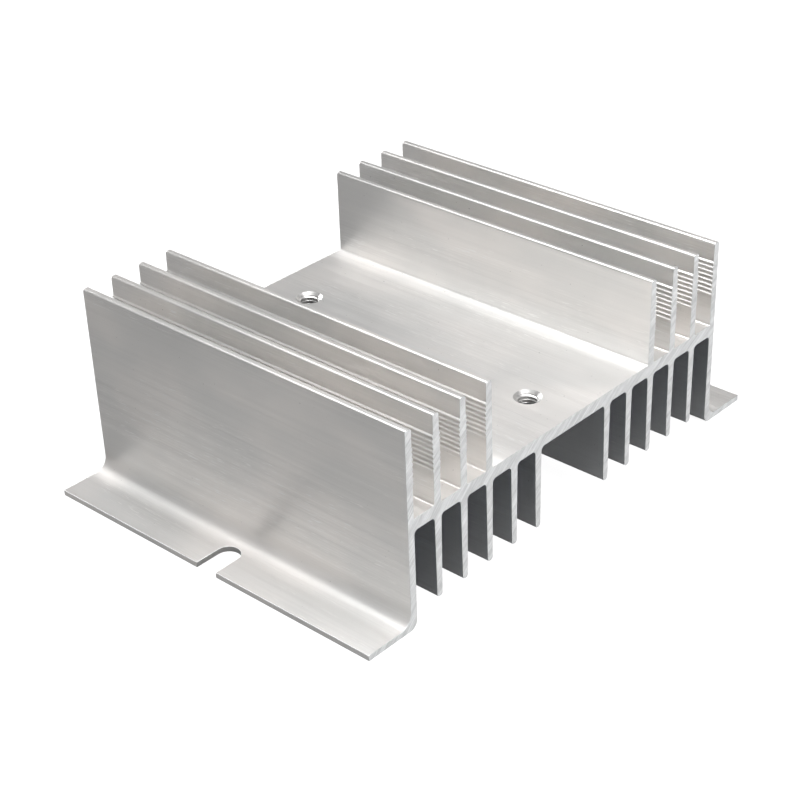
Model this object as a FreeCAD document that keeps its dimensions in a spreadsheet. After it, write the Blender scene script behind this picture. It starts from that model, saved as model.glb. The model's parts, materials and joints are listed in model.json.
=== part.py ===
"""Heat sink for a diode module: one length of aluminium extrusion, sawn off, drilled and slotted.

The section stands in the XZ plane and runs along Y. Two side walls stand on outward feet and
carry a plate between them. Fins rise from the plate beside an open channel, where the module
is screwed down, and more fins hang below it. Lengths are in millimetres. The origin is on the
mounting plane, in the middle of the part, with Z up.
"""
import FreeCAD, Part
import math
import os

import Sketcher

NODE = "heat_sink"

# Driving sizes: name, value and what it measures.
SIZES = [
    ("sink_length", 108.0, "length of the sawn piece, along the fins"),
    ("sink_height", 54.0, "mounting plane to the tips of the upper fins"),
    ("body_width", 121.0, "outer face to outer face of the side walls"),
    ("wall_thickness", 2.0, "side wall"),
    ("foot_reach", 14.5, "how far a foot stands out from its wall"),
    ("foot_thickness", 1.5, "foot flange"),
    ("foot_fillet", 3.6, "hollow corner between foot and wall"),
    ("heel_radius", 2.4, "rounded corner under the wall"),
    ("plate_lift", 27.0, "mounting plane to the underside of the plate"),
    ("plate_thickness", 3.2, "plate that carries the fins and the module"),
    ("pitch_count", 13, "fin pitches from wall to wall"),
    ("upper_fin_count", 3, "upper fins beside each wall"),
    ("upper_fin_root", 2.2, "upper fin thickness at the plate"),
    ("upper_fin_tip", 1.9, "upper fin thickness at its tip"),
    ("upper_tip_radius", 0.6, "rounded edges of the upper tips"),
    ("upper_fillet", 0.5, "hollow corner at the upper roots"),
    ("lower_fin_count", 5, "lower fins beside each wall"),
    ("lower_fin_root", 2.3, "lower fin thickness at the plate"),
    ("lower_fin_tip", 1.7, "lower fin thickness at its tip"),
    ("lower_tip_radius", 0.65, "rounded edges of the lower tips"),
    ("lower_fillet", 1.2, "hollow corner at the lower roots"),
    ("lower_clearance", 4.4, "mounting plane to the tips of the lower fins"),
    ("ridge_count", 9, "ridges one above the other on a flank"),
    ("ridge_pitch", 1.28, "spacing of the ridges"),
    ("ridge_height", 0.35, "how far a ridge stands out of its flank"),
    ("ridge_base", 0.8, "width of a ridge at the flank"),
    ("ridge_crest", 0.2, "width of a ridge at its crest"),
    ("ridge_drop", 4.3, "fin tip to the middle of the highest ridge"),
    ("slot_width", 6.7, "screw slot in a foot"),
    ("slot_depth", 10.5, "foot edge to the end of the slot"),
    ("hole_spacing", 80.0, "centre to centre of the two tapped holes"),
    ("hole_turn", 3.0, "angle of the line of holes to the fins, in degrees"),
    ("hole_shift", 1.7, "sideways distance from the middle of the part to that line"),
    ("tap_diameter", 5.0, "bore of a tapped hole"),
    ("mouth_diameter", 7.3, "wide end of the countersink"),
    ("mouth_angle", 90.0, "full angle of the countersink, in degrees"),
]


class Size:
    """A size as a number, together with the sheet expression that gives the same number."""

    def __init__(self, number, text):
        self.number = number
        self.text = text

    def __add__(self, other):
        other = as_size(other)
        return Size(self.number + other.number, f"({self.text} + {other.text})")

    def __sub__(self, other):
        other = as_size(other)
        return Size(self.number - other.number, f"({self.text} - {other.text})")

    def __mul__(self, other):
        other = as_size(other)
        return Size(self.number * other.number, f"({self.text} * {other.text})")

    def __truediv__(self, other):
        other = as_size(other)
        return Size(self.number / other.number, f"({self.text} / {other.text})")


def as_size(value):
    """A bare number as a Size, and a Size as it is."""
    return value if isinstance(value, Size) else Size(float(value), str(value))


def make_sheet(doc):
    """Writes the driving sizes to a sheet and returns them by name."""
    sheet = doc.addObject("Spreadsheet::Sheet", "Sizes")
    sizes = {}
    for row, (name, value, meaning) in enumerate(SIZES, start=1):
        sheet.set(f"A{row}", meaning)
        sheet.set(f"B{row}", str(value))
        sheet.setAlias(f"B{row}", name)
        sizes[name] = Size(value, f"Sizes.{name}")
    doc.recompute()
    return sizes


def origin_feature(body, role):
    """The body's own axis or plane of the given role."""
    return next(feature for feature in body.Origin.OriginFeatures if feature.Role == role)


def new_sketch(body, name, role):
    """A sketch on one of the body's origin planes."""
    sketch = body.newObject("Sketcher::SketchObject", name)
    sketch.AttachmentSupport = [(origin_feature(body, role), "")]
    sketch.MapMode = "FlatFace"
    return sketch


def bind(sketch, constraint, size):
    """Adds a dimension to a sketch and ties it to the sheet."""
    index = sketch.addConstraint(constraint)
    sketch.setExpression(f"Constraints[{index}]", size.text)


def pin(sketch, geometry, position, across, along):
    """Places one point of a sketch by its two distances from the sketch's origin."""
    origin = (-1, 1)
    bind(sketch, Sketcher.Constraint("DistanceX", *origin, geometry, position, across.number), across)
    bind(sketch, Sketcher.Constraint("DistanceY", *origin, geometry, position, along.number), along)


def rounding(before, corner, after, radius):
    """Where a round of the given radius leaves the first leg, its middle, and where it ends."""
    into = (before - corner).normalize()
    out = (after - corner).normalize()
    half_angle = into.getAngle(out) / 2
    reach = radius / math.tan(half_angle)
    centre = corner + (into + out).normalize() * (radius / math.sin(half_angle))
    middle = centre + (corner - centre).normalize() * radius
    return corner + into * reach, middle, corner + out * reach


def draw_outline(sketch, corners):
    """Draws a closed outline through corners given as (across, along, radius or None).

    Each corner is a construction point pinned by the sheet. The sides run through the points,
    and an arc that touches both sides rounds each corner that has a radius.
    """
    points = [FreeCAD.Vector(across.number, along.number, 0) for across, along, _ in corners]
    count = len(corners)
    ends = []
    for index, (_, _, radius) in enumerate(corners):
        here = points[index]
        if radius is None:
            ends.append((here, None, here))
        else:
            ends.append(rounding(points[index - 1], here, points[(index + 1) % count], radius.number))
    sides = []
    for index in range(count):
        side = Part.LineSegment(ends[index][2], ends[(index + 1) % count][0])
        sides.append(sketch.addGeometry(side, False))
    for index, (across, along, radius) in enumerate(corners):
        before = sides[index - 1]
        after = sides[index]
        mark = sketch.addGeometry(Part.Point(points[index]), True)
        pin(sketch, mark, 1, across, along)
        if radius is None:
            sketch.addConstraint(Sketcher.Constraint("Coincident", before, 2, mark, 1))
            sketch.addConstraint(Sketcher.Constraint("Coincident", after, 1, mark, 1))
            continue
        arc = Part.Arc(*ends[index])
        bend = sketch.addGeometry(arc, False)
        starts_first = (sketch.getPoint(bend, 1) - ends[index][0]).Length < radius.number * 1e-3
        first, last = (1, 2) if starts_first else (2, 1)
        sketch.addConstraint(Sketcher.Constraint("Tangent", before, 2, bend, first))
        sketch.addConstraint(Sketcher.Constraint("Tangent", bend, last, after, 1))
        sketch.addConstraint(Sketcher.Constraint("PointOnObject", mark, 1, before))
        sketch.addConstraint(Sketcher.Constraint("PointOnObject", mark, 1, after))
        bind(sketch, Sketcher.Constraint("Radius", bend, radius.number), radius)


def extrude(body, sketch, name, length):
    """Pads a section sketch to the full length, half to each side of the XZ plane."""
    pad = body.newObject("PartDesign::Pad", name)
    pad.Profile = sketch
    pad.SideType = "Symmetric"
    pad.setExpression("Length", length.text)
    sketch.Visibility = False
    return pad


def repeat(body, original, name, across_count, across_pitch, up_count=None, up_pitch=None):
    """Repeats a pad towards +X, and upwards too where an upward count is given."""
    pattern = body.newObject("PartDesign::LinearPattern", name)
    pattern.Originals = [original]
    pattern.Direction = (origin_feature(body, "X_Axis"), [""])
    pattern.Mode = "Spacing"
    pattern.setExpression("Occurrences", across_count.text)
    pattern.setExpression("Offset", across_pitch.text)
    if up_count is not None:
        pattern.Direction2 = (origin_feature(body, "Z_Axis"), [""])
        pattern.Mode2 = "Spacing"
        pattern.setExpression("Occurrences2", up_count.text)
        pattern.setExpression("Offset2", up_pitch.text)
    body.Tip = pattern
    return pattern


def add_frame(body, sizes):
    """The right half of the plate, with its wall and foot."""
    outside = sizes["body_width"] / 2
    inside = outside - sizes["wall_thickness"]
    toe = outside + sizes["foot_reach"]
    middle = as_size(0)
    ground = as_size(0)
    underside = sizes["plate_lift"]
    floor = underside + sizes["plate_thickness"]
    sketch = new_sketch(body, "frame_section", "XZ_Plane")
    draw_outline(sketch, [
        (middle, underside, None),
        (inside, underside, sizes["lower_fillet"]),
        (inside, ground, sizes["heel_radius"]),
        (toe, ground, None),
        (toe, sizes["foot_thickness"], None),
        (outside, sizes["foot_thickness"], sizes["foot_fillet"]),
        (outside, sizes["sink_height"], sizes["upper_tip_radius"]),
        (inside, sizes["sink_height"], sizes["upper_tip_radius"]),
        (inside, floor, sizes["upper_fillet"]),
        (middle, floor, None),
    ])
    extrude(body, sketch, "frame", sizes["sink_length"])


def fin_corners(centre, root, tip, root_level, tip_level, sunk_level, fillet, tip_radius):
    """The outline of one fin, which widens at its root and is sunk into the plate."""
    spread = root / 2 + fillet * 2
    return [
        (centre - spread, sunk_level, None),
        (centre - spread, root_level, None),
        (centre - root / 2, root_level, fillet),
        (centre - tip / 2, tip_level, tip_radius),
        (centre + tip / 2, tip_level, tip_radius),
        (centre + root / 2, root_level, fillet),
        (centre + spread, root_level, None),
        (centre + spread, sunk_level, None),
    ]


def fin_pitch(sizes):
    """Spacing of the fins: the walls stand a whole number of pitches apart."""
    return (sizes["body_width"] - sizes["wall_thickness"]) / sizes["pitch_count"]


def fin_place(sizes, steps):
    """Middle of the fin that stands the given number of pitches in from the wall."""
    return (sizes["body_width"] - sizes["wall_thickness"]) / 2 - fin_pitch(sizes) * steps


def add_upper_fins(body, sizes):
    """The fins above the plate, from the channel out to the wall."""
    floor = sizes["plate_lift"] + sizes["plate_thickness"]
    sketch = new_sketch(body, "upper_fin_section", "XZ_Plane")
    draw_outline(sketch, fin_corners(
        centre=fin_place(sizes, sizes["upper_fin_count"]),
        root=sizes["upper_fin_root"],
        tip=sizes["upper_fin_tip"],
        root_level=floor,
        tip_level=sizes["sink_height"],
        sunk_level=floor - sizes["plate_thickness"] / 2,
        fillet=sizes["upper_fillet"],
        tip_radius=sizes["upper_tip_radius"]))
    fin = extrude(body, sketch, "upper_fin", sizes["sink_length"])
    repeat(body, fin, "upper_fins", sizes["upper_fin_count"], fin_pitch(sizes))


def add_lower_fins(body, sizes):
    """The fins below the plate, which end clear of the mounting plane."""
    underside = sizes["plate_lift"]
    sketch = new_sketch(body, "lower_fin_section", "XZ_Plane")
    draw_outline(sketch, fin_corners(
        centre=fin_place(sizes, sizes["lower_fin_count"]),
        root=sizes["lower_fin_root"],
        tip=sizes["lower_fin_tip"],
        root_level=underside,
        tip_level=sizes["lower_clearance"],
        sunk_level=underside + sizes["plate_thickness"] / 2,
        fillet=sizes["lower_fillet"],
        tip_radius=sizes["lower_tip_radius"]))
    fin = extrude(body, sketch, "lower_fin", sizes["sink_length"])
    repeat(body, fin, "lower_fins", sizes["lower_fin_count"], fin_pitch(sizes))


def ridge_corners(flank, outward, sizes):
    """The lowest ridge of a column, sunk into the flank that it stands out of."""
    climb = sizes["ridge_pitch"] * (sizes["ridge_count"] - 1)
    level = sizes["sink_height"] - sizes["ridge_drop"] - climb
    inner = flank - sizes["ridge_height"] * outward
    crest = flank + sizes["ridge_height"] * outward
    half_base = sizes["ridge_base"] / 2
    half_crest = sizes["ridge_crest"] / 2
    return [
        (inner, level - half_base, None),
        (flank, level - half_base, None),
        (crest, level - half_crest, None),
        (crest, level + half_crest, None),
        (flank, level + half_base, None),
        (inner, level + half_base, None),
    ]


def fin_half_thickness(sizes):
    """Half of an upper fin's thickness, at the middle of its ridges."""
    floor = sizes["plate_lift"] + sizes["plate_thickness"]
    below_tip = sizes["ridge_drop"] + sizes["ridge_pitch"] * (sizes["ridge_count"] - 1) / 2
    growth = (sizes["upper_fin_root"] - sizes["upper_fin_tip"]) / (sizes["sink_height"] - floor)
    return (sizes["upper_fin_tip"] + growth * below_tip) / 2


def add_ridges(body, sizes):
    """Fine ridges on every flank that faces a gap between upper fins, none in the channel."""
    half = fin_half_thickness(sizes)
    wall_face = sizes["body_width"] / 2 - sizes["wall_thickness"]
    innermost = fin_place(sizes, sizes["upper_fin_count"])
    columns = [
        ("outer_flank_ridge", innermost + half, 1, sizes["upper_fin_count"]),
        ("inner_flank_ridge", innermost + fin_pitch(sizes) - half, -1, sizes["upper_fin_count"] - 1),
        ("wall_ridge", wall_face, -1, as_size(1)),
    ]
    for name, flank, outward, count in columns:
        sketch = new_sketch(body, f"{name}_section", "XZ_Plane")
        draw_outline(sketch, ridge_corners(flank, outward, sizes))
        ridge = extrude(body, sketch, name, sizes["sink_length"])
        repeat(body, ridge, f"{name}s", count, fin_pitch(sizes), sizes["ridge_count"], sizes["ridge_pitch"])


def cut_foot_slot(body, sizes):
    """The open screw slot in the middle of a foot, round at its inner end."""
    toe = sizes["body_width"] / 2 + sizes["foot_reach"]
    radius = sizes["slot_width"] / 2
    bend_place = toe - sizes["slot_depth"] + radius
    mouth = toe + radius
    sketch = new_sketch(body, "slot_outline", "XY_Plane")
    centre = FreeCAD.Vector(bend_place.number, 0, 0)
    lower_bend = centre + FreeCAD.Vector(0, -radius.number, 0)
    upper_bend = centre + FreeCAD.Vector(0, radius.number, 0)
    lower_mouth = FreeCAD.Vector(mouth.number, -radius.number, 0)
    upper_mouth = FreeCAD.Vector(mouth.number, radius.number, 0)
    circle = Part.Circle(centre, FreeCAD.Vector(0, 0, 1), radius.number)
    bend = sketch.addGeometry(Part.ArcOfCircle(circle, math.pi / 2, 3 * math.pi / 2), False)
    lower = sketch.addGeometry(Part.LineSegment(lower_bend, lower_mouth), False)
    end = sketch.addGeometry(Part.LineSegment(lower_mouth, upper_mouth), False)
    upper = sketch.addGeometry(Part.LineSegment(upper_mouth, upper_bend), False)
    sketch.addConstraint(Sketcher.Constraint("Tangent", bend, 2, lower, 1))
    sketch.addConstraint(Sketcher.Constraint("Coincident", lower, 2, end, 1))
    sketch.addConstraint(Sketcher.Constraint("Coincident", end, 2, upper, 1))
    sketch.addConstraint(Sketcher.Constraint("Tangent", upper, 2, bend, 1))
    sketch.addConstraint(Sketcher.Constraint("Horizontal", lower))
    sketch.addConstraint(Sketcher.Constraint("Horizontal", upper))
    sketch.addConstraint(Sketcher.Constraint("Vertical", end))
    sketch.addConstraint(Sketcher.Constraint("PointOnObject", bend, 3, -1))
    bind(sketch, Sketcher.Constraint("Radius", bend, radius.number), radius)
    bind(sketch, Sketcher.Constraint("DistanceX", -1, 1, bend, 3, bend_place.number), bend_place)
    bind(sketch, Sketcher.Constraint("DistanceX", -1, 1, end, 1, mouth.number), mouth)
    pocket = body.newObject("PartDesign::Pocket", "slot")
    pocket.Profile = sketch
    pocket.SideType = "Symmetric"
    pocket.Type = "ThroughAll"
    sketch.Visibility = False


def mirror_half(body):
    """The left half, as the mirror image of the right."""
    mirrored = body.newObject("PartDesign::Mirrored", "both_halves")
    mirrored.TransformMode = "Whole shape"
    mirrored.MirrorPlane = (origin_feature(body, "YZ_Plane"), [""])
    body.Tip = mirrored


def drill_module_holes(doc, body, sizes):
    """Two countersunk holes through the plate, at the tapping size, for the module's screws."""
    floor = sizes["plate_lift"] + sizes["plate_thickness"]
    sketch = new_sketch(body, "hole_centres", "XY_Plane")
    sketch.setExpression("AttachmentOffset.Base.z", floor.text)
    reach = sizes["hole_spacing"] / 2
    turn = sizes["hole_turn"]
    bore_radius = sizes["tap_diameter"] / 2
    sideways = Size(math.sin(math.radians(turn.number)), f"sin({turn.text} * 1 deg)")
    lengthways = Size(math.cos(math.radians(turn.number)), f"cos({turn.text} * 1 deg)")
    for end in (-1, 1):
        across = sizes["hole_shift"] + reach * sideways * end
        along = reach * lengthways * end
        centre = FreeCAD.Vector(across.number, along.number, 0)
        circle = Part.Circle(centre, FreeCAD.Vector(0, 0, 1), bore_radius.number)
        bore = sketch.addGeometry(circle, False)
        pin(sketch, bore, 3, across, along)
        bind(sketch, Sketcher.Constraint("Radius", bore, bore_radius.number), bore_radius)
    doc.recompute()
    hole = body.newObject("PartDesign::Hole", "tapped_holes")
    hole.Profile = sketch
    hole.DepthType = "ThroughAll"
    hole.HoleCutType = "Countersink"
    hole.HoleCutCustomValues = True
    hole.setExpression("Diameter", sizes["tap_diameter"].text)
    hole.setExpression("HoleCutDiameter", sizes["mouth_diameter"].text)
    hole.setExpression("HoleCutCountersinkAngle", sizes["mouth_angle"].text)
    sketch.Visibility = False
    body.Tip = hole


def check(doc, body):
    """Stops if any feature failed, or if the piece is not one valid solid."""
    for item in doc.Objects:
        if "Invalid" in item.State or "Error" in item.State:
            raise RuntimeError(f"{item.Label} did not build: {item.State}")
    shape = body.Shape
    if shape.isNull() or not shape.isValid():
        raise RuntimeError(f"{body.Label} has no valid shape")
    if len(shape.Solids) != 1:
        raise RuntimeError(f"{body.Label} is {len(shape.Solids)} solids")


def make_heat_sink():
    """Builds the heat sink in a new document and returns the document and the body."""
    doc = FreeCAD.newDocument("diode_module_heat_sink")
    sizes = make_sheet(doc)
    body = doc.addObject("PartDesign::Body", NODE)
    body.Label = NODE
    add_frame(body, sizes)
    add_upper_fins(body, sizes)
    add_lower_fins(body, sizes)
    add_ridges(body, sizes)
    doc.recompute()
    uncut = body.Shape.Volume
    cut_foot_slot(body, sizes)
    doc.recompute()
    half = body.Shape.Volume
    if half >= uncut:
        raise RuntimeError("the foot slot cuts nothing")
    mirror_half(body)
    doc.recompute()
    undrilled = body.Shape.Volume
    drill_module_holes(doc, body, sizes)
    doc.recompute()
    if body.Shape.Volume >= undrilled:
        raise RuntimeError("the tapped holes cut nothing")
    check(doc, body)
    return doc, body


def main():
    doc, body = make_heat_sink()
    os.makedirs("parts", exist_ok=True)
    body.Shape.exportStep(os.path.join("parts", f"{body.Label}.step"))
    box = body.Shape.BoundBox
    print(f"{body.Label}: {box.XLength:.2f} x {box.YLength:.2f} x {box.ZLength:.2f} mm")
    print(f"volume {body.Shape.Volume / 1000:.2f} cm3, {len(body.Shape.Faces)} faces")


main()
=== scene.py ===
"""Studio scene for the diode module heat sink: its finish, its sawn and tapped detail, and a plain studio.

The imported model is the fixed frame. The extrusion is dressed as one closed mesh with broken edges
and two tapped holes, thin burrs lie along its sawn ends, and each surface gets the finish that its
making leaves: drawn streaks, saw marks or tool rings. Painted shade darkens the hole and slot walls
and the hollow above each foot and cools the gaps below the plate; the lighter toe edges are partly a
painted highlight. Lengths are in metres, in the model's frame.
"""
import json
import math

import bmesh
import bpy
from mathutils import Matrix, Quaternion, Vector


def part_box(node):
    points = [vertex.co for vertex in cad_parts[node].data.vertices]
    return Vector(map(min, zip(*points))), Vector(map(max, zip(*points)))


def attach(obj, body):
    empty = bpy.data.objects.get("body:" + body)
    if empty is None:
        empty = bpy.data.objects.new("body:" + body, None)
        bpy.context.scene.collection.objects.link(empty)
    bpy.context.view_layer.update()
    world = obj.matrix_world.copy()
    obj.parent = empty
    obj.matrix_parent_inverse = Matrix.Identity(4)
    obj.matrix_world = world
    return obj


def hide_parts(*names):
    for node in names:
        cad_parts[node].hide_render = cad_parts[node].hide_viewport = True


bl_info = {
    "name": "Diode module heat sink",
    "version": (1, 0, 0),
    "blender": (4, 5, 0),
    "location": "3D View > Sidebar > Heat sink",
    "description": "Dresses the packed heat sink and sets it in a plain studio",
    "category": "Object",
}

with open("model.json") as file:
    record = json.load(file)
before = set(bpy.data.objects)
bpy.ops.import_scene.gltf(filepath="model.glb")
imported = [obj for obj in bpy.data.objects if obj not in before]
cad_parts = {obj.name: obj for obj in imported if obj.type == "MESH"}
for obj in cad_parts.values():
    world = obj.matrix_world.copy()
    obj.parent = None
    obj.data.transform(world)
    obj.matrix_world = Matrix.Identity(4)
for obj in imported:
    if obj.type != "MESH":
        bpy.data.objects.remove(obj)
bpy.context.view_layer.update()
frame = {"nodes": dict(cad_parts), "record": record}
NODE = "heat_sink"
BODY = "root"

MM = 0.001
MICRON = 1e-6
LOW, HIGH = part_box(NODE)
SHARP_ANGLE = math.radians(35)
QUARTER_TURN = 0.25
END_TOLERANCE = 0.02 * MM
MERGE_DISTANCE = 0.01 * MM
FLAT_ANGLE = math.radians(0.4)

# Where the feet's outer edges and slots lie, measured inwards from the widest side of the part.
TOE_REACH = 12 * MM
TOE_HEIGHT = 2.0 * MM
SLOT_REACH = 10.6 * MM
SLOT_HALF_WIDTH = 3.4 * MM
WALL_REACH = 15 * MM
PLATE_SKIN = 1.5 * MM
RIDGE_RUN = 1.0 * MM
FOOT_CORNER = (HIGH.x - 14.5 * MM, 1.3 * MM)
FOOT_CORNER_FADE = (2.5 * MM, 7 * MM)
CHANNEL_HALF_WIDTH = 30.3 * MM
CHANNEL_CORNER_FADE = (1.5 * MM, 6 * MM)

# Grain sizes of the finishes along X, Y and Z. The extrusion was drawn along Y.
FINE_STREAKS = (0.35 * MM, 45 * MM, 0.35 * MM)
BANDS = (1.6 * MM, 170 * MM, 1.6 * MM)
BROAD_WAVES = (9 * MM, 320 * MM, 9 * MM)
CLOUDS = (26 * MM, 34 * MM, 18 * MM)
WORN_PATCHES = (11 * MM, 70 * MM, 11 * MM)
SCRATCHES = (0.22 * MM, 11 * MM, 0.22 * MM)
SCRATCH_TILT = (0.05, 0.0, 0.05)
PITS = (0.5 * MM, 0.5 * MM, 0.5 * MM)
SAWN_MOTTLE = (1.4 * MM, 1.4 * MM, 1.4 * MM)
SPECKS = (0.45 * MM, 0.45 * MM, 0.45 * MM)
BLADE_WOBBLE = (6 * MM, 6 * MM, 6 * MM)
TOOL_RINGS = (8 * MM, 8 * MM, 0.14 * MM)
TOOLED_MOTTLE = (0.8 * MM, 0.8 * MM, 0.8 * MM)
RUBBED = (0.6 * MM, 3 * MM, 0.6 * MM)
TORN = (0.3 * MM, 0.3 * MM, 0.3 * MM)
PAPER_CLOUDS = (90 * MM, 90 * MM, 90 * MM)

# Parts of a noise's range, from 0 to 1, in which a mark comes up.
SCRATCH_RANGE = (0.63, 0.74)
PATCH_RANGE = (0.45, 0.65)
PIT_RANGE = (0.865, 0.885)
SOFT_RANGE = (0.35, 0.65)
SAW_RANGE = (0.3, 0.7)
SPECK_RANGE = (0.70, 0.78)

# How far each mark changes the tone of the metal, on top of the tone where there is none.
DRAWN_TONE = 0.97
STREAK_TONES = (0.03, 0.19)
CLOUD_TONE = 0.16
SCRATCH_TONE = 0.2
PIT_TONE = -0.35
# Painted shade: the metal is darker in the hollow corner above each foot.
FOOT_CORNER_PAINTED_SHADE = -0.1
SAWN_TONE = 0.86
SAW_MARK_TONE = 0.19
WIDE_MARK_TONE = 0.12
SPECK_TONE = -0.24
# Painted shade: this tone darkens the walls of the holes and slots.
TOOLED_PAINTED_SHADE = 0.83
RING_TONE = 0.30
# Partly a painted highlight: the lightest colour of the worn toe edges.
PAINTED_EDGE_HIGHLIGHT = (0.98, 0.98, 0.98, 1)

# The saw: its hub, and its marks across, along and into the cut.
SAW_HUB = (190 * MM, 0.0, -230 * MM)
SAW_MARKS = (0.4 * MM, 12 * MM, 40 * MM)
WIDE_SAW_MARKS = (1.3 * MM, 24 * MM, 40 * MM)
BLADE_SWAY = 0.9 * MM

# The burr's lip: the size of its tears, how far they sway in steps of raggedness, and their swell.
TEAR_SIZE = 0.9 * MM
TEAR_SWAY = 4.0
LIP_SHARES = (0.35, 1.0)

# Faces are told apart by the upright or endways part of their normals.
LEVEL = 0.95
TILTED = 0.2
ENDWAYS = 0.3
END_SKIN = 0.2 * MM
HOLE_MARGIN = 0.05 * MM
DRAWN, SAWN, TOOLED, WORN = range(4)

FLOOR_RADIUS = 6.0
FLOOR_SIDES = 96
FLOOR_DROP = 0.05 * MM
FLOOR_ROUGHNESS = 0.9
FLOOR_GLOW = 0.92
FLOOR_DARK = (0.168, 0.167, 0.166, 1)
FLOOR_LIGHT = (0.178, 0.177, 0.176, 1)
WHITE = (1, 1, 1, 1)
SENSOR_WIDTH = 36.0
NEAREST_SEEN = 0.01
FARTHEST_SEEN = 50.0


def module_screws():
    """The record's mounts for the module's screws, whose places and bores the tapped holes take."""
    return [mount for mount in frame["record"]["mounts"] if mount["kind"] == "threaded_hole"]


def module_seat_height():
    """Height of the plate's upper face, where the module sits."""
    return next(m["pos_m"][2] for m in frame["record"]["mounts"] if m["name"] == "module_seat")


def add_node(tree, kind, inputs=None, **settings):
    """Adds a node, sets its properties, and sets or links its inputs by name or number."""
    node = tree.nodes.new(kind)
    for name, value in settings.items():
        setattr(node, name, value)
    for socket, value in (inputs or {}).items():
        if isinstance(value, bpy.types.NodeSocket):
            tree.links.new(value, node.inputs[socket])
        else:
            node.inputs[socket].default_value = value
    return node


def arithmetic(tree, operation, *values, clamp=False):
    """One step of arithmetic on numbers, as a node's output."""
    node = add_node(tree, "ShaderNodeMath", dict(enumerate(values)), operation=operation, use_clamp=clamp)
    return node.outputs[0]


def vector_step(tree, operation, *values):
    """One step of arithmetic on vectors, as a node's output."""
    node = add_node(tree, "ShaderNodeVectorMath", dict(enumerate(values)), operation=operation)
    return node.outputs["Value"] if operation in {"LENGTH", "DOT_PRODUCT"} else node.outputs["Vector"]


def remap(tree, value, low, high, to_low=0.0, to_high=1.0):
    """Turns the range from low to high into another range, smoothly and clamped."""
    inputs = {"Value": value, "From Min": low, "From Max": high, "To Min": to_low, "To Max": to_high}
    return add_node(tree, "ShaderNodeMapRange", inputs, interpolation_type="SMOOTHSTEP").outputs[0]


def mix_colour(tree, factor, first, second, blend="MIX"):
    """Mixes two colours, as a node's output. The node takes colours at its places 6 and 7."""
    inputs = {0: factor, 6: first, 7: second}
    return add_node(tree, "ShaderNodeMix", inputs, data_type="RGBA", blend_type=blend).outputs[2]


def plus(tree, total, mark, amount):
    """The total with a mark added to it, as strongly as the amount says."""
    return arithmetic(tree, "MULTIPLY_ADD", mark, amount, total)


def centred(tree, mark):
    """The mark moved down so that it swings round 0."""
    return arithmetic(tree, "SUBTRACT", mark, 0.5)


def uneven_roughness(tree, middle, marks):
    """Roughness that swings round its middle with the marks, with each by its own amount."""
    rough = middle - sum(amount for _, amount in marks) / 2
    for mark, amount in marks:
        rough = plus(tree, rough, mark, amount)
    return rough


def shaded(tree, colour, shade):
    """The colour made darker or lighter by a number, which is 1 for no change."""
    grey = add_node(tree, "ShaderNodeCombineXYZ", {0: shade, 1: shade, 2: shade}).outputs[0]
    return mix_colour(tree, 1.0, colour, grey, "MULTIPLY")


def grain(tree, place, size, detail=2.0, roughness=0.5):
    """Noise whose grains have the given size along each axis, from 0 to 1."""
    scaled = vector_step(tree, "DIVIDE", place, size)
    inputs = {"Vector": scaled, "Scale": 1.0, "Detail": detail, "Roughness": roughness}
    return add_node(tree, "ShaderNodeTexNoise", inputs).outputs[0]


def bump(tree, height, depth, below=None):
    """Relief of the given depth in metres, on top of another relief where there is one."""
    inputs = {"Height": height, "Distance": depth, "Strength": 1.0}
    if below is not None:
        inputs["Normal"] = below
    return add_node(tree, "ShaderNodeBump", inputs).outputs[0]


def layered_relief(tree, layers):
    """Relief of several grains, one on top of another, each with its depth."""
    relief = None
    for height, depth in layers:
        relief = bump(tree, height, depth, relief)
    return relief


def new_metal(name, anisotropy=0.0):
    """A bare metal material, its tree, its shader, and the place on the piece."""
    material = bpy.data.materials.new(name)
    material.use_nodes = True
    tree = material.node_tree
    shader = tree.nodes["Principled BSDF"]
    shader.inputs["Metallic"].default_value = 1.0
    shader.inputs["Anisotropic"].default_value = anisotropy
    place = add_node(tree, "ShaderNodeTexCoord").outputs["Object"]
    return material, tree, shader, place


def link_finish(tree, shader, colour, roughness, relief):
    """Connects a finish to its shader."""
    tree.links.new(colour, shader.inputs["Base Color"])
    tree.links.new(roughness, shader.inputs["Roughness"])
    tree.links.new(relief, shader.inputs["Normal"])


def painted_gap_shade(tree, place):
    """1 in the gaps below the plate, where a cooler tint is painted as shade, and 0 elsewhere."""
    parts = add_node(tree, "ShaderNodeSeparateXYZ", {0: place}).outputs
    below = arithmetic(tree, "LESS_THAN", parts[2], module_seat_height() - PLATE_SKIN)
    aside = arithmetic(tree, "ABSOLUTE", parts[0])
    within = arithmetic(tree, "LESS_THAN", aside, HIGH.x - WALL_REACH)
    return arithmetic(tree, "MULTIPLY", below, within)


def near_corner(tree, place, corner, inner, outer):
    """1 within the inner distance of a hollow corner along the extrusion, on both sides, fading to 0."""
    parts = add_node(tree, "ShaderNodeSeparateXYZ", {0: place}).outputs
    aside = arithmetic(tree, "SUBTRACT", arithmetic(tree, "ABSOLUTE", parts[0]), corner[0])
    above = arithmetic(tree, "SUBTRACT", parts[2], corner[1])
    offset = add_node(tree, "ShaderNodeCombineXYZ", {0: aside, 1: above}).outputs[0]
    return remap(tree, vector_step(tree, "LENGTH", offset), inner, outer, 1.0, 0.0)


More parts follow.
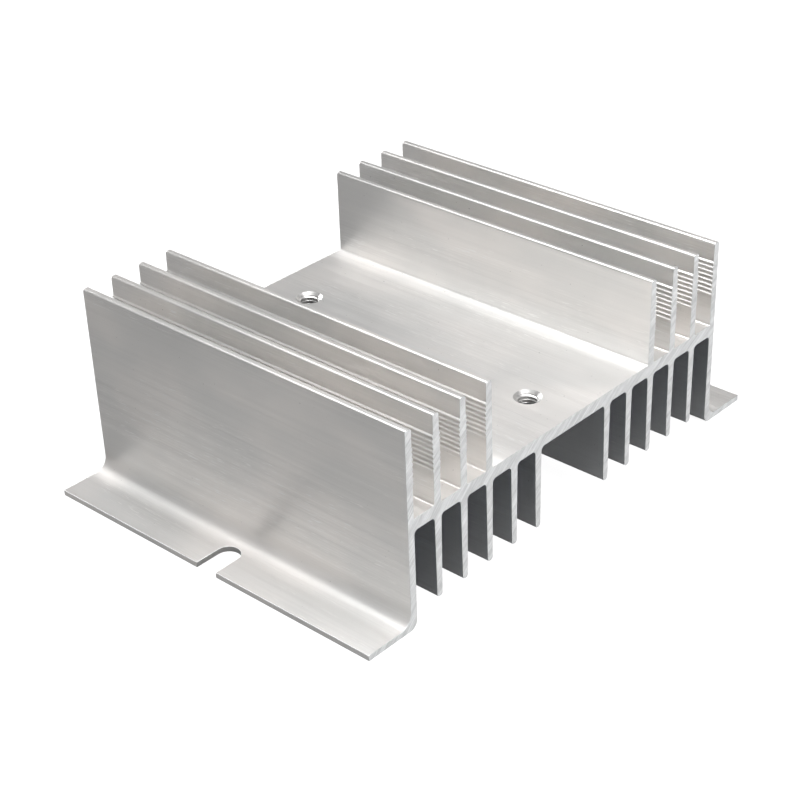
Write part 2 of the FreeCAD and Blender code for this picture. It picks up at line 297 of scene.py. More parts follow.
def drawn_metal(finish):
    """Mill finish of the extruded faces: streaks along the fins, soft clouds, short scratches, and painted
    shade in the gaps below the plate and the hollows above the feet.
    """
    material, tree, shader, place = new_metal("mill_finish_aluminium", finish.streak_gloss)
    fine = grain(tree, place, FINE_STREAKS, detail=3.0)
    band = grain(tree, place, BANDS, detail=2.0)
    broad = grain(tree, place, BROAD_WAVES, detail=1.0)
    cloud = grain(tree, place, CLOUDS, detail=2.0)
    patch = grain(tree, place, WORN_PATCHES, detail=3.0)
    tilted = add_node(tree, "ShaderNodeMapping", {"Vector": place, "Rotation": SCRATCH_TILT}).outputs[0]
    scratch = remap(tree, grain(tree, tilted, SCRATCHES, detail=1.0), *SCRATCH_RANGE)
    scratch = arithmetic(tree, "MULTIPLY", scratch, remap(tree, patch, *PATCH_RANGE))
    pit = remap(tree, grain(tree, place, PITS, detail=0.0), *PIT_RANGE)
    warmth = remap(tree, cloud, *SOFT_RANGE)
    tint = mix_colour(tree, warmth, (*finish.cool_metal, 1), (*finish.warm_metal, 1))
    worn = remap(tree, patch, *SOFT_RANGE, *STREAK_TONES)
    foot_corner = near_corner(tree, place, FOOT_CORNER, *FOOT_CORNER_FADE)
    channel = (CHANNEL_HALF_WIDTH, module_seat_height())
    channel_corner = near_corner(tree, place, channel, *CHANNEL_CORNER_FADE)
    shade = plus(tree, DRAWN_TONE, centred(tree, fine), worn)
    shade = plus(tree, shade, centred(tree, band), worn)
    shade = plus(tree, shade, centred(tree, cloud), CLOUD_TONE)
    shade = plus(tree, shade, scratch, SCRATCH_TONE)
    shade = plus(tree, shade, pit, PIT_TONE)
    # Painted shade in the hollow corner above the foot.
    shade = plus(tree, shade, foot_corner, FOOT_CORNER_PAINTED_SHADE)
    # Painted shade: a cooler tint in the gaps below the plate.
    colour = mix_colour(tree, painted_gap_shade(tree, place), tint, (*finish.gap_shade_tint, 1))
    colour = shaded(tree, colour, shade)
    rough = uneven_roughness(tree, finish.roughness, [(band, 0.08), (fine, 0.04), (cloud, 0.06)])
    rough = plus(tree, rough, foot_corner, finish.corner_dullness)
    rough = plus(tree, rough, channel_corner, finish.corner_dullness)
    relief = layered_relief(tree, [
        (broad, 14 * MICRON), (band, 5 * MICRON), (fine, 2 * MICRON), (scratch, 2 * MICRON)])
    streaks = add_node(tree, "ShaderNodeCombineXYZ", {1: 1.0}).outputs[0]
    turned = add_node(tree, "ShaderNodeVectorTransform", {0: streaks}, vector_type="VECTOR",
                      convert_from="OBJECT", convert_to="WORLD").outputs[0]
    tree.links.new(turned, shader.inputs["Tangent"])
    shader.inputs["Anisotropic Rotation"].default_value = QUARTER_TURN
    link_finish(tree, shader, colour, rough, relief)
    return material


def sawn_metal(finish):
    """Sawn ends: curved marks of the blade, a mottled sheen and small torn specks."""
    material, tree, shader, place = new_metal("sawn_aluminium")
    from_hub = vector_step(tree, "SUBTRACT", place, SAW_HUB)
    flat = vector_step(tree, "MULTIPLY", from_hub, (1.0, 0.0, 1.0))
    radius = vector_step(tree, "LENGTH", flat)
    wobble = grain(tree, place, BLADE_WOBBLE, detail=1.0)
    reach = plus(tree, radius, wobble, BLADE_SWAY)
    parts = add_node(tree, "ShaderNodeSeparateXYZ", {0: place}).outputs
    slip = arithmetic(tree, "ADD", parts[0], parts[2])
    along = add_node(tree, "ShaderNodeCombineXYZ", {0: reach, 1: slip, 2: parts[1]}).outputs[0]
    mark = grain(tree, along, SAW_MARKS, detail=3.0, roughness=0.6)
    wide = grain(tree, along, WIDE_SAW_MARKS, detail=1.0)
    mottle = grain(tree, place, SAWN_MOTTLE, detail=4.0, roughness=0.65)
    speck = remap(tree, grain(tree, place, SPECKS, detail=1.0), *SPECK_RANGE)
    tint = mix_colour(tree, mottle, (*finish.sawn_dark, 1), (*finish.sawn_light, 1))
    shade = plus(tree, SAWN_TONE, remap(tree, mark, *SAW_RANGE), SAW_MARK_TONE)
    shade = plus(tree, shade, remap(tree, wide, *SAW_RANGE), WIDE_MARK_TONE)
    shade = plus(tree, shade, speck, SPECK_TONE)
    colour = shaded(tree, tint, shade)
    rough = uneven_roughness(tree, finish.sawn_roughness, [(mottle, 0.16)])
    relief = layered_relief(tree, [(mark, 30 * MICRON), (wide, 42 * MICRON), (mottle, 14 * MICRON)])
    link_finish(tree, shader, colour, rough, relief)
    return material


def tooled_metal(finish):
    """Walls of the tapped holes and the foot slots: fine rings left by the tool, on a colour painted darker
    as shade in these recesses.
    """
    material, tree, shader, place = new_metal("tooled_aluminium", 0.2)
    ring = grain(tree, place, TOOL_RINGS, detail=2.0)
    mottle = grain(tree, place, TOOLED_MOTTLE, detail=3.0)
    tint = mix_colour(tree, mottle, (*finish.tooled_dark, 1), (*finish.tooled_light, 1))
    # Painted shade: the walls are darkened as if they lay in a recess.
    colour = shaded(tree, tint, plus(tree, TOOLED_PAINTED_SHADE, ring, RING_TONE))
    rough = uneven_roughness(tree, finish.tooled_roughness, [(mottle, 0.12)])
    relief = layered_relief(tree, [(ring, 8 * MICRON), (mottle, 4 * MICRON)])
    link_finish(tree, shader, colour, rough, relief)
    return material


def worn_highlit_metal(finish):
    """Edges of the feet, rubbed dull by handling, in a lighter colour that is worn metal and partly a
    painted highlight.
    """
    material, tree, shader, place = new_metal("worn_highlit_aluminium")
    rubbed = grain(tree, place, RUBBED, detail=2.0)
    # Partly a painted highlight: the edges are coloured lighter.
    colour = mix_colour(tree, rubbed, (*finish.burr_bright, 1), PAINTED_EDGE_HIGHLIGHT)
    rough = uneven_roughness(tree, finish.worn_roughness, [(rubbed, 0.1)])
    link_finish(tree, shader, colour, rough, bump(tree, rubbed, 10 * MICRON))
    return material


def burr_metal(finish):
    """The bright torn lip that the saw leaves."""
    material, tree, shader, place = new_metal("burr_aluminium")
    torn = grain(tree, place, TORN, detail=3.0)
    colour = mix_colour(tree, torn, (*finish.sawn_light, 1), (*finish.burr_bright, 1))
    rough = uneven_roughness(tree, finish.burr_roughness, [(torn, 0.2)])
    link_finish(tree, shader, colour, rough, bump(tree, torn, 20 * MICRON))
    return material


def plain_object(name, mesh):
    """A new object that shows the mesh, in the scene, at the origin."""
    piece = bpy.data.objects.new(name, mesh)
    bpy.context.scene.collection.objects.link(piece)
    return piece


def apply_modifiers(piece):
    """Turns the modifiers' result into the piece's own mesh, and removes them."""
    depsgraph = bpy.context.evaluated_depsgraph_get()
    mesh = bpy.data.meshes.new_from_object(piece.evaluated_get(depsgraph), depsgraph=depsgraph)
    mesh.name = piece.name
    piece.modifiers.clear()
    piece.data = mesh


def remove(piece):
    """Deletes a helper object and its mesh."""
    mesh = piece.data
    bpy.data.objects.remove(piece)
    bpy.data.meshes.remove(mesh)


def set_tree_inputs(modifier, values):
    """Sets a node modifier's inputs, given by the names of their sockets."""
    items = modifier.node_group.interface.items_tree
    sockets = {item.name: item for item in items if item.in_out == "INPUT"}
    for name, value in values.items():
        modifier[sockets[name].identifier] = value


def new_tree(name, inputs):
    """A geometry tree with a geometry socket each way and the given named inputs."""
    tree = bpy.data.node_groups.new(name, "GeometryNodeTree")
    tree.interface.new_socket("Geometry", in_out="INPUT", socket_type="NodeSocketGeometry")
    tree.interface.new_socket("Geometry", in_out="OUTPUT", socket_type="NodeSocketGeometry")
    for title, kind, default in inputs:
        socket = tree.interface.new_socket(title, in_out="INPUT", socket_type=kind)
        if default is not None:
            socket.default_value = default
    return tree, tree.nodes.new("NodeGroupInput").outputs


def end_tree(tree, geometry, material):
    """Makes the instances real, gives them their material and ends the tree."""
    real = add_node(tree, "GeometryNodeRealizeInstances", {"Geometry": geometry})
    done = add_node(tree, "GeometryNodeSetMaterial", {"Geometry": real.outputs[0], "Material": material})
    add_node(tree, "NodeGroupOutput", {0: done.outputs[0]})


def thread_radius(tree, given, angle, height):
    """Radius of the thread's wall at an angle and a height: a helical groove with flat crests and roots."""
    turns = arithmetic(tree, "DIVIDE", angle, math.tau)
    climb = arithmetic(tree, "DIVIDE", height, given["Pitch"])
    phase = arithmetic(tree, "FRACT", arithmetic(tree, "SUBTRACT", climb, turns))
    wave = arithmetic(tree, "ABSOLUTE", arithmetic(tree, "MULTIPLY_ADD", phase, 2.0, -1.0))
    past_crest = arithmetic(tree, "SUBTRACT", wave, given["Crest Share"])
    flats = arithmetic(tree, "ADD", given["Crest Share"], given["Root Share"])
    share = arithmetic(tree, "DIVIDE", past_crest, arithmetic(tree, "SUBTRACT", 1.0, flats), clamp=True)
    return arithmetic(tree, "MULTIPLY_ADD", share, given["Thread Depth"], given["Bore Radius"])


def tapping_tree():
    """Tree of the tapping tool: the space that tap and countersink take away, set at each hole's place."""
    tree, given = new_tree("tapped_hole_tool", [
        ("Bore Radius", "NodeSocketFloat", 2.5 * MM),
        ("Thread Depth", "NodeSocketFloat", 0.5 * MM),
        ("Pitch", "NodeSocketFloat", 1.0 * MM),
        ("Crest Share", "NodeSocketFloat", 0.25),
        ("Root Share", "NodeSocketFloat", 0.125),
        ("Mouth Radius", "NodeSocketFloat", 3.65 * MM),
        ("Tool Length", "NodeSocketFloat", 4.0 * MM),
        ("Overrun", "NodeSocketFloat", 0.4 * MM),
        ("Sides", "NodeSocketInt", 96),
        ("Rings", "NodeSocketInt", 80),
        ("Material", "NodeSocketMaterial", None),
    ])
    rod = add_node(tree, "GeometryNodeMeshCylinder", {
        "Vertices": given["Sides"], "Side Segments": given["Rings"],
        "Radius": 1.0, "Depth": given["Tool Length"]})
    position = add_node(tree, "GeometryNodeInputPosition").outputs[0]
    place = add_node(tree, "ShaderNodeSeparateXYZ", {0: position}).outputs
    half_length = arithmetic(tree, "MULTIPLY", given["Tool Length"], 0.5)
    top = arithmetic(tree, "SUBTRACT", half_length, given["Overrun"])
    height = arithmetic(tree, "SUBTRACT", place[2], top)
    angle = arithmetic(tree, "ARCTAN2", place[1], place[0])
    cone = arithmetic(tree, "ADD", given["Mouth Radius"], height)
    radius = arithmetic(tree, "MAXIMUM", thread_radius(tree, given, angle, height), cone)
    shaped = add_node(tree, "ShaderNodeCombineXYZ", {
        0: arithmetic(tree, "MULTIPLY", place[0], radius),
        1: arithmetic(tree, "MULTIPLY", place[1], radius),
        2: height})
    tool = add_node(tree, "GeometryNodeSetPosition", {
        "Geometry": rod.outputs[0], "Position": shaped.outputs[0]})
    holes = add_node(tree, "GeometryNodeMeshToPoints", {"Mesh": given["Geometry"]})
    tools = add_node(tree, "GeometryNodeInstanceOnPoints", {
        "Points": holes.outputs[0], "Instance": tool.outputs[0]})
    end_tree(tree, tools.outputs[0], given["Material"])
    return tree


def burr_tree():
    """Tree of a saw burr: a thin ragged lip that follows the outline of a sawn end."""
    tree, given = new_tree("saw_burr", [
        ("Thickness", "NodeSocketFloat", 0.1 * MM),
        ("Spacing", "NodeSocketFloat", 0.3 * MM),
        ("Raggedness", "NodeSocketFloat", 0.05 * MM),
        ("Lowest Corner", "NodeSocketVector", None),
        ("Highest Corner", "NodeSocketVector", None),
        ("Sides", "NodeSocketInt", 5),
        ("Seed", "NodeSocketFloat", 3.0),
        ("Material", "NodeSocketMaterial", None),
    ])
    outline = add_node(tree, "GeometryNodeMeshToCurve", {"Mesh": given["Geometry"]})
    even = add_node(tree, "GeometryNodeResampleCurve", {
        "Curve": outline.outputs[0], "Length": given["Spacing"]}, mode="LENGTH")
    place = add_node(tree, "GeometryNodeInputPosition").outputs[0]
    torn = add_node(tree, "ShaderNodeTexNoise", {
        "Vector": place, "W": given["Seed"], "Scale": 1 / TEAR_SIZE, "Detail": 2.0}, noise_dimensions="4D")
    sway = vector_step(tree, "SUBTRACT", torn.outputs["Color"], (0.5, 0.5, 0.5))
    reach = arithmetic(tree, "MULTIPLY", given["Raggedness"], TEAR_SWAY)
    offset = add_node(tree, "ShaderNodeVectorMath", {0: sway, "Scale": reach}, operation="SCALE").outputs[0]
    swayed = vector_step(tree, "ADD", place, offset)
    inside = vector_step(tree, "MAXIMUM", swayed, given["Lowest Corner"])
    inside = vector_step(tree, "MINIMUM", inside, given["Highest Corner"])
    ragged = add_node(tree, "GeometryNodeSetPosition", {
        "Geometry": even.outputs[0], "Position": inside})
    swell = remap(tree, torn.outputs["Fac"], *SAW_RANGE, *LIP_SHARES)
    half = arithmetic(tree, "MULTIPLY", given["Thickness"], 0.5)
    ring = add_node(tree, "GeometryNodeCurvePrimitiveCircle", {
        "Resolution": given["Sides"], "Radius": half})
    lip = add_node(tree, "GeometryNodeCurveToMesh", {
        "Curve": ragged.outputs[0], "Profile Curve": ring.outputs[0], "Scale": swell})
    end_tree(tree, lip.outputs[0], given["Material"])
    return tree


def merged_frame_copy():
    """The node's mesh as one closed shape, with each flat face as a single face."""
    shape = bmesh.new()
    shape.from_mesh(frame["nodes"][NODE].data)
    bmesh.ops.remove_doubles(shape, verts=shape.verts, dist=MERGE_DISTANCE)
    join_flat_faces(shape)
    return shape


def join_flat_faces(shape):
    """Joins neighbouring faces that lie in one plane."""
    bmesh.ops.dissolve_limit(shape, angle_limit=FLAT_ANGLE, verts=shape.verts, edges=shape.edges,
                             use_dissolve_boundaries=False)


def near_a_hole(point, reach):
    """Whether a point lies within reach of the axis of a tapped hole."""
    places = [mount["pos_m"] for mount in module_screws()]
    return any(math.hypot(point.x - place[0], point.y - place[1]) < reach for place in places)


def plug_holes(shape, reach):
    """Closes the plain bores of the frame, so that the tapped holes can be cut at full detail."""
    walls = [face for face in shape.faces
             if abs(face.normal.z) < LEVEL and all(near_a_hole(v.co, reach) for v in face.verts)]
    bmesh.ops.delete(shape, geom=walls, context="FACES")
    rims = [edge for edge in shape.edges if edge.is_boundary]
    bmesh.ops.holes_fill(shape, edges=rims, sides=0)
    bmesh.ops.recalc_face_normals(shape, faces=shape.faces)
    join_flat_faces(shape)


def break_edges(shape, width, chosen):
    """Rounds the chosen sharp edges by a hair, as sawing, drawing and handling leave them."""
    sharp = [edge for edge in shape.edges
             if edge.is_manifold and edge.calc_face_angle() > SHARP_ANGLE and chosen(edge)]
    bmesh.ops.bevel(shape, geom=sharp, offset=width, offset_type="OFFSET", segments=2, profile=0.5,
                    affect="EDGES", clamp_overlap=True)


def on_outer_foot(point):
    """Whether a point lies on the outer part of a foot, with its slot."""
    return abs(point.x) > HIGH.x - TOE_REACH and point.z < TOE_HEIGHT


def on_a_toe(edge):
    """Whether an edge lies wholly on the outer part of a foot."""
    return all(on_outer_foot(vert.co) for vert in edge.verts)


def on_a_ridge(edge):
    """Whether an edge runs along a ridge of an upper fin. Such edges stay as the die leaves them."""
    first, last = (vert.co for vert in edge.verts)
    return abs(first.y - last.y) > RIDGE_RUN and min(first.z, last.z) > module_seat_height() + PLATE_SKIN


def in_a_slot(point):
    """Whether a point lies in the screw slot of a foot."""
    return abs(point.x) > HIGH.x - SLOT_REACH and abs(point.y) < SLOT_HALF_WIDTH


def on_a_toe_edge(face):
    """Whether a face is part of the rounded upper edge of a foot or of its slot."""
    return on_outer_foot(face.center) and TILTED < face.normal.z < LEVEL


def sort_finishes(mesh, reach):
    """Gives each face the finish that its making leaves, with painted shade on the hole and slot walls and
    a painted highlight on the toe edges.
    """
    for face in mesh.polygons:
        at_an_end = abs(face.center.y) > HIGH.y - END_SKIN
        in_a_cut = near_a_hole(face.center, reach) or in_a_slot(face.center)
        if at_an_end and abs(face.normal.y) > ENDWAYS:
            face.material_index = SAWN
        # The toe edges take the worn finish, whose lighter colour is partly a painted highlight.
        elif on_a_toe_edge(face):
            face.material_index = WORN
        elif abs(face.normal.z) < LEVEL and in_a_cut:
            face.material_index = TOOLED
        else:
            face.material_index = DRAWN


def shade_by_angle(mesh):
    """Smooth shading, with the sharp edges kept sharp."""
    shape = bmesh.new()
    shape.from_mesh(mesh)
    for face in shape.faces:
        face.smooth = True
    for edge in shape.edges:
        edge.smooth = edge.is_manifold and edge.calc_face_angle() < SHARP_ANGLE
    shape.to_mesh(mesh)
    shape.free()


def outline_of_end(shape, side, name):
    """The outline of one sawn end as a mesh of edges only."""
    level = HIGH.y * side
    outline = bmesh.new()
    copies = {}
    for edge in shape.edges:
        if all(abs(vert.co.y - level) < END_TOLERANCE for vert in edge.verts):
            for vert in edge.verts:
                if vert not in copies:
                    copies[vert] = outline.verts.new(vert.co)
            outline.edges.new([copies[vert] for vert in edge.verts])
    mesh = bpy.data.meshes.new(name)
    outline.to_mesh(mesh)
    outline.free()
    return mesh


class HeatSinkFinish(bpy.types.PropertyGroup):
    """Colours and gloss of the bare metal."""

    warm_metal: bpy.props.FloatVectorProperty(
        name="Warm metal", description="Warmer tone of the drawn faces", subtype="COLOR",
        default=(0.935, 0.912, 0.89))
    cool_metal: bpy.props.FloatVectorProperty(
        name="Cool metal", description="Cooler tone of the drawn faces", subtype="COLOR",
        default=(0.885, 0.878, 0.865))
    # Painted shade: a cooler tint laid on the metal in the gaps below the plate.
    gap_shade_tint: bpy.props.FloatVectorProperty(
        name="Metal under the plate", description="Cooler tone in the gaps below the plate",
        subtype="COLOR", default=(0.92, 0.935, 0.955))
    roughness: bpy.props.FloatProperty(
        name="Roughness", description="Roughness of the drawn faces", subtype="FACTOR",
        default=0.38, min=0.0, max=1.0)
    streak_gloss: bpy.props.FloatProperty(
        name="Streak gloss", description="How far the streaks spread a reflection across them",
        subtype="FACTOR", default=0.6, min=0.0, max=1.0)
    corner_dullness: bpy.props.FloatProperty(
        name="Corner dullness", description="Added roughness in the hollow corners of the channel and feet",
        subtype="FACTOR", default=0.13, min=0.0, max=1.0)
    sawn_light: bpy.props.FloatVectorProperty(
        name="Sawn light", description="Lighter tone of the sawn ends", subtype="COLOR",
        default=(0.785, 0.79, 0.79))
    sawn_dark: bpy.props.FloatVectorProperty(
        name="Sawn dark", description="Darker tone of the sawn ends", subtype="COLOR",
        default=(0.615, 0.622, 0.628))
    sawn_roughness: bpy.props.FloatProperty(
        name="Sawn roughness", description="Roughness of the sawn ends", subtype="FACTOR",
        default=0.8, min=0.0, max=1.0)
    # The tooled tones are painted darker than the bare metal, as shade in the holes and slots.
    tooled_light: bpy.props.FloatVectorProperty(
        name="Tooled light", description="Lighter tone of the hole and slot walls", subtype="COLOR",
        default=(0.72, 0.71, 0.70))
    tooled_dark: bpy.props.FloatVectorProperty(
        name="Tooled dark", description="Darker tone of the hole and slot walls", subtype="COLOR",
        default=(0.54, 0.535, 0.53))
    tooled_roughness: bpy.props.FloatProperty(
        name="Tooled roughness", description="Roughness of the hole and slot walls", subtype="FACTOR",
        default=0.36, min=0.0, max=1.0)
    worn_roughness: bpy.props.FloatProperty(
        name="Worn roughness", description="Roughness of the rubbed edges of the feet",
        subtype="FACTOR", default=0.65, min=0.0, max=1.0)
    burr_bright: bpy.props.FloatVectorProperty(
        name="Burr", description="Bright tone of the burrs", subtype="COLOR", default=(0.86, 0.865, 0.87))
    burr_roughness: bpy.props.FloatProperty(
        name="Burr roughness", description="Roughness of the burrs", subtype="FACTOR",
        default=0.38, min=0.0, max=1.0)


class HeatSinkBody(bpy.types.PropertyGroup):
    """Sizes of the detail on the extrusion."""

    broken_edge: bpy.props.FloatProperty(
        name="Broken edge", description="Width of the rounding on every sharp edge", unit="LENGTH",
        default=0.07 * MM, min=0.0, precision=5)
    toe_edge: bpy.props.FloatProperty(
        name="Toe edge", description="Width of the rounding on the edges of the feet and their slots",
        unit="LENGTH", default=0.2 * MM, min=0.0, precision=5)
    mouth_radius: bpy.props.FloatProperty(
        name="Mouth radius", description="Radius of the countersink at the plate's face", unit="LENGTH",
        default=3.65 * MM, min=0.0, precision=5)
    thread_pitch: bpy.props.FloatProperty(
        name="Thread pitch", description="Rise of the thread in one turn", unit="LENGTH",
        default=1.0 * MM, min=0.0, precision=5)
    thread_depth: bpy.props.FloatProperty(
        name="Thread depth", description="Depth of the thread's groove in the wall of the bore",
        unit="LENGTH", default=0.5 * MM, min=0.0, precision=5)


class HeatSinkBurrs(bpy.types.PropertyGroup):
    """Sizes of the saw burrs."""

    thickness: bpy.props.FloatProperty(
        name="Thickness", description="Greatest thickness of a burr", unit="LENGTH",
        default=0.13 * MM, min=0.0, precision=5)
    spacing: bpy.props.FloatProperty(
        name="Spacing", description="Distance from one ring of a burr to the next", unit="LENGTH",
        default=0.28 * MM, min=0.0, precision=5)
    raggedness: bpy.props.FloatProperty(
        name="Raggedness", description="How far a burr strays from the edge", unit="LENGTH",
        default=0.045 * MM, min=0.0, precision=5)


class HeatSinkStudio(bpy.types.PropertyGroup):
    """The camera and the light."""

    azimuth: bpy.props.FloatProperty(
        name="Azimuth", description="Direction of the camera round the part", unit="ROTATION",
        default=math.radians(-47.64))
    elevation: bpy.props.FloatProperty(
        name="Elevation", description="Height of the camera above the horizon", unit="ROTATION",
        default=math.radians(31.58))
    roll: bpy.props.FloatProperty(
        name="Roll", description="Turn of the picture about its middle", unit="ROTATION",
        default=math.radians(-1.72))
    target: bpy.props.FloatVectorProperty(
        name="Target", description="Point that the camera looks at", subtype="TRANSLATION",
        default=(6.23 * MM, 0.94 * MM, 0.0))
    distance: bpy.props.FloatProperty(
        name="Distance", description="Camera to target", unit="LENGTH", default=505.6 * MM, precision=4)
    lens: bpy.props.FloatProperty(
        name="Lens", description="Focal length in millimetres, for a sensor 36 mm wide", default=84.04)
    shift: bpy.props.FloatVectorProperty(
        name="Shift", description="How far the picture lies off the camera's axis, in picture widths",
        size=2, default=(-0.031, 0.044))
    room_light: bpy.props.FloatProperty(
        name="Room light", description="Strength of the even light from all round", default=0.1, min=0.0)


def dress_body(sizes, finish):
    """Makes the dressed extrusion, which stands for the node."""
    seat = module_seat_height()
    reach = sizes.mouth_radius + HOLE_MARGIN
    shape = merged_frame_copy()
    plug_holes(shape, reach)
    break_edges(shape, sizes.toe_edge, on_a_toe)
    break_edges(shape, sizes.broken_edge, lambda edge: not on_a_toe(edge) and not on_a_ridge(edge))
    mesh = bpy.data.meshes.new("dressed_extrusion")
    shape.to_mesh(mesh)
    shape.free()
    piece = plain_object("dressed_extrusion", mesh)
    tool = tapping_tool(sizes, seat)
    cut = piece.modifiers.new("tapped_holes", "BOOLEAN")
    cut.operation = "DIFFERENCE"
    cut.solver = "EXACT"
    cut.object = tool
    apply_modifiers(piece)
    remove(tool)
    piece.data.materials.clear()
    for material in (drawn_metal(finish), sawn_metal(finish), tooled_metal(finish), worn_highlit_metal(finish)):
        piece.data.materials.append(material)
    sort_finishes(piece.data, reach)
    shade_by_angle(piece.data)
    weighted = piece.modifiers.new("even_shading", "WEIGHTED_NORMAL")
    weighted.keep_sharp = True
    apply_modifiers(piece)
    return piece


def tapping_tool(sizes, seat):
    """The helper object that cuts both tapped holes."""
    holes = bpy.data.meshes.new("hole_places")
    holes.from_pydata([(m["pos_m"][0], m["pos_m"][1], seat) for m in module_screws()], [], [])
    tool = plain_object("tapping_tool", holes)
    thread = tool.modifiers.new("tapped_hole_tool", "NODES")
    thread.node_group = tapping_tree()
    set_tree_inputs(thread, {
        "Bore Radius": module_screws()[0]["dims"]["r_mm"] * MM,
        "Thread Depth": sizes.thread_depth,
        "Pitch": sizes.thread_pitch,
        "Mouth Radius": sizes.mouth_radius,
    })
    apply_modifiers(tool)
    return tool


class HEATSINK_OT_body(bpy.types.Operator):
    """Dress the extrusion with broken edges, tapped holes and its finishes"""

    bl_idname = "heatsink.dress_body"
    bl_label = "Dress the extrusion"

    def execute(self, context):
        """Dresses the part, hangs it on the body and hides the node whose place it takes."""
        piece = dress_body(context.scene.heatsink_body, context.scene.heatsink_finish)
        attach(piece, BODY)
        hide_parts(NODE)
        return {"FINISHED"}


class HEATSINK_OT_burrs(bpy.types.Operator):
    """Raise a thin ragged burr along the outline of each sawn end"""

    bl_idname = "heatsink.raise_burrs"
    bl_label = "Raise the saw burrs"

    def execute(self, context):
        """Makes one burr for each end, inside the part's box."""
        sizes = context.scene.heatsink_burrs
        tree = burr_tree()
        material = burr_metal(context.scene.heatsink_finish)
        shape = merged_frame_copy()
        margin = Vector((1, 1, 1)) * sizes.thickness / 2
        for name, side in (("front_saw_burr", -1), ("rear_saw_burr", 1)):
            piece = plain_object(name, outline_of_end(shape, side, name))
            burr = piece.modifiers.new("saw_burr", "NODES")
            burr.node_group = tree
            set_tree_inputs(burr, {
                "Thickness": sizes.thickness,
                "Spacing": sizes.spacing,
                "Raggedness": sizes.raggedness,
                "Lowest Corner": LOW + margin,
                "Highest Corner": HIGH - margin,
                "Material": material,
            })
            apply_modifiers(piece)
            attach(piece, BODY)
        shape.free()
        return {"FINISHED"}


# Rows of softboxes: name, elevation and azimuths in degrees, width and height in metres, watts each.
SOFTBOX_ROWS = [
    ("front", 18, (0,), 0.7, 0.7, 8.8),
    ("front_strip", 12, (0,), 0.25, 0.5, 3.0),
    ("high_front_strip", 35, (0,), 0.25, 0.5, 1.7),
    ("upper_front", 68, (0,), 0.7, 0.7, 3.9),
    ("top_front_strip", 76, (0,), 0.25, 0.5, 3.2),
    ("top", 82, (0, 180), 0.5, 0.5, 0.7),
    ("upper_side", 68, (-120, -60, 60), 0.7, 0.7, 1.1),
    ("left", 18, (-90,), 0.7, 0.7, 3.1),
    ("right", 18, (60,), 0.7, 0.7, 0.4),
    ("corner", 38, (-138, -42, 42, 138), 0.7, 0.7, 0.13),
    ("low_corner", 14, (-128, -30, 52, 150), 0.7, 0.7, 0.24),
    ("upper_back", 68, (180,), 0.7, 0.7, 5.5),
    ("top_back_strip", 76, (180,), 0.25, 0.5, 5.0),
    ("back", 18, (180,), 0.7, 0.7, 3.0),
    ("back_strip", 12, (180,), 0.25, 0.5, 4.6),
]
SOFTBOX_DISTANCE = 1.2


def direction(azimuth, elevation):
    """Unit vector towards an azimuth and an elevation. Azimuth 0 is in front, 90 to the right."""
    flat = math.cos(elevation)
    return Vector((math.sin(azimuth) * flat, -math.cos(azimuth) * flat, math.sin(elevation)))


def lay_floor():
    """A plain pale floor that runs past every view."""
    material = bpy.data.materials.new("pale_floor")
    material.use_nodes = True
    tree = material.node_tree
    shader = tree.nodes["Principled BSDF"]
    shader.inputs["Roughness"].default_value = FLOOR_ROUGHNESS
    place = add_node(tree, "ShaderNodeTexCoord").outputs["Object"]
    soft = grain(tree, place, PAPER_CLOUDS, detail=1.0)
    seen = add_node(tree, "ShaderNodeLightPath").outputs["Is Camera Ray"]
    paper = mix_colour(tree, soft, FLOOR_DARK, FLOOR_LIGHT)
    tree.links.new(paper, shader.inputs["Base Color"])
    shader.inputs["Emission Color"].default_value = WHITE
    tree.links.new(arithmetic(tree, "MULTIPLY", seen, FLOOR_GLOW), shader.inputs["Emission Strength"])
    shape = bmesh.new()
    bmesh.ops.create_circle(shape, cap_ends=True, radius=FLOOR_RADIUS, segments=FLOOR_SIDES)
    mesh = bpy.data.meshes.new("floor")
    shape.to_mesh(mesh)
    shape.free()
    mesh.transform(Matrix.Translation((0, 0, LOW.z - FLOOR_DROP)))
    mesh.materials.append(material)
    plain_object("floor", mesh)


def light_room(strength):
    """Even pale light from all round."""
    world = bpy.data.worlds.new("pale_room")
    world.use_nodes = True
    tree = world.node_tree
    background = tree.nodes["Background"]
    background.inputs["Color"].default_value = WHITE
    seen = add_node(tree, "ShaderNodeLightPath").outputs["Is Camera Ray"]
    tree.links.new(arithmetic(tree, "MAXIMUM", seen, strength), background.inputs["Strength"])
    bpy.context.scene.world = world


def hang_softboxes():
    """Softboxes round the part, all turned to it."""
    middle = (LOW + HIGH) / 2
    for row, elevation, azimuths, width, height, power in SOFTBOX_ROWS:
        for azimuth in azimuths:
            light = bpy.data.lights.new(f"{row}_softbox", "AREA")
            light.shape = "RECTANGLE"
            light.size = width
            light.size_y = height
            light.energy = power
            lamp = bpy.data.objects.new(light.name, light)
            bpy.context.scene.collection.objects.link(lamp)
            out = direction(math.radians(azimuth), math.radians(elevation))
            lamp.location = middle + out * SOFTBOX_DISTANCE
            lamp.rotation_mode = "QUATERNION"
            lamp.rotation_quaternion = out.to_track_quat("Z", "Y")


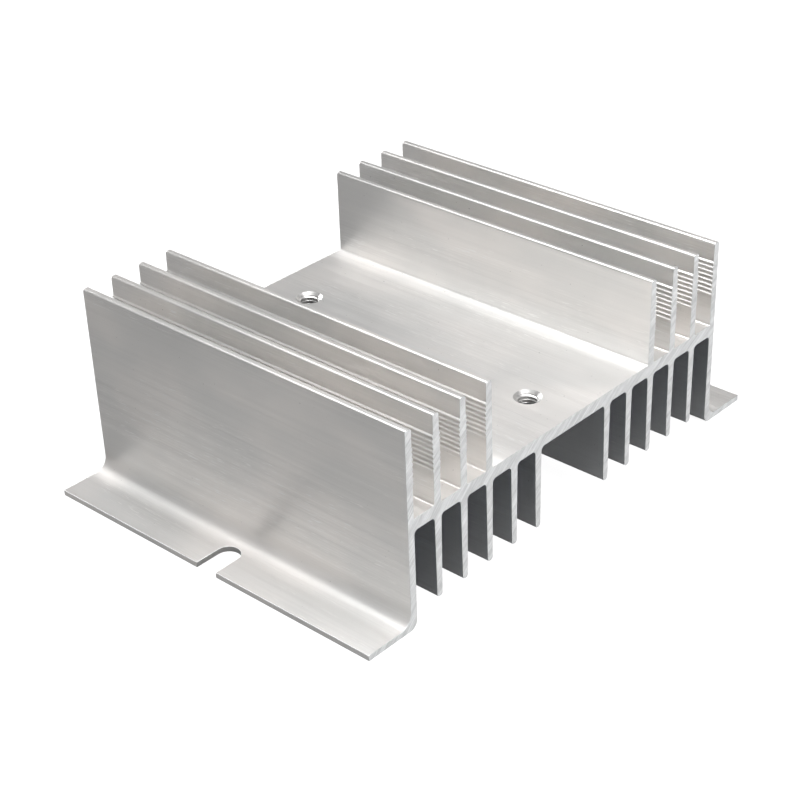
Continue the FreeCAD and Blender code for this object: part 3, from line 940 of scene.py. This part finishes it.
def place_camera(studio):
    """The camera at the photograph's viewing angle."""
    camera = bpy.data.cameras.new("camera")
    camera.sensor_width = SENSOR_WIDTH
    camera.lens = studio.lens
    camera.shift_x, camera.shift_y = studio.shift
    camera.clip_start = NEAREST_SEEN
    camera.clip_end = FARTHEST_SEEN
    holder = bpy.data.objects.new("camera", camera)
    bpy.context.scene.collection.objects.link(holder)
    back = direction(studio.azimuth, studio.elevation)
    holder.location = Vector(studio.target) + back * studio.distance
    holder.rotation_mode = "QUATERNION"
    turn = Quaternion((0.0, 0.0, 1.0), studio.roll)
    holder.rotation_quaternion = (-back).to_track_quat("-Z", "Y") @ turn
    bpy.context.scene.camera = holder


class HEATSINK_OT_stage(bpy.types.Operator):
    """Lay the floor, hang the softboxes and place the camera"""

    bl_idname = "heatsink.set_stage"
    bl_label = "Set the stage"

    def execute(self, context):
        """Makes the floor, the lights and the camera."""
        studio = context.scene.heatsink_studio
        context.scene.view_settings.view_transform = "Standard"
        lay_floor()
        light_room(studio.room_light)
        hang_softboxes()
        place_camera(studio)
        return {"FINISHED"}


class HEATSINK_PT_panel(bpy.types.Panel):
    """Sidebar panel with a button for each step"""

    bl_idname = "HEATSINK_PT_panel"
    bl_label = "Heat sink"
    bl_space_type = "VIEW_3D"
    bl_region_type = "UI"
    bl_category = "Heat sink"

    def draw(self, context):
        """Draws one button for each operator."""
        for operator in OPERATORS:
            self.layout.operator(operator.bl_idname)


SETTINGS = {
    "heatsink_finish": HeatSinkFinish,
    "heatsink_body": HeatSinkBody,
    "heatsink_burrs": HeatSinkBurrs,
    "heatsink_studio": HeatSinkStudio,
}
OPERATORS = [HEATSINK_OT_body, HEATSINK_OT_burrs, HEATSINK_OT_stage]


def register():
    """Registers the settings, the operators and the panel."""
    for group in SETTINGS.values():
        bpy.utils.register_class(group)
    for name, group in SETTINGS.items():
        setattr(bpy.types.Scene, name, bpy.props.PointerProperty(type=group))
    for operator in OPERATORS:
        bpy.utils.register_class(operator)
    bpy.utils.register_class(HEATSINK_PT_panel)


def unregister():
    """Takes back all that register() did."""
    bpy.utils.unregister_class(HEATSINK_PT_panel)
    for operator in reversed(OPERATORS):
        bpy.utils.unregister_class(operator)
    for name, group in SETTINGS.items():
        delattr(bpy.types.Scene, name)
        bpy.utils.unregister_class(group)


def main():
    """Makes the whole scene, one step after another."""
    register()
    bpy.ops.heatsink.dress_body()
    bpy.ops.heatsink.raise_burrs()
    bpy.ops.heatsink.set_stage()


if __name__ == "__main__":
    main()
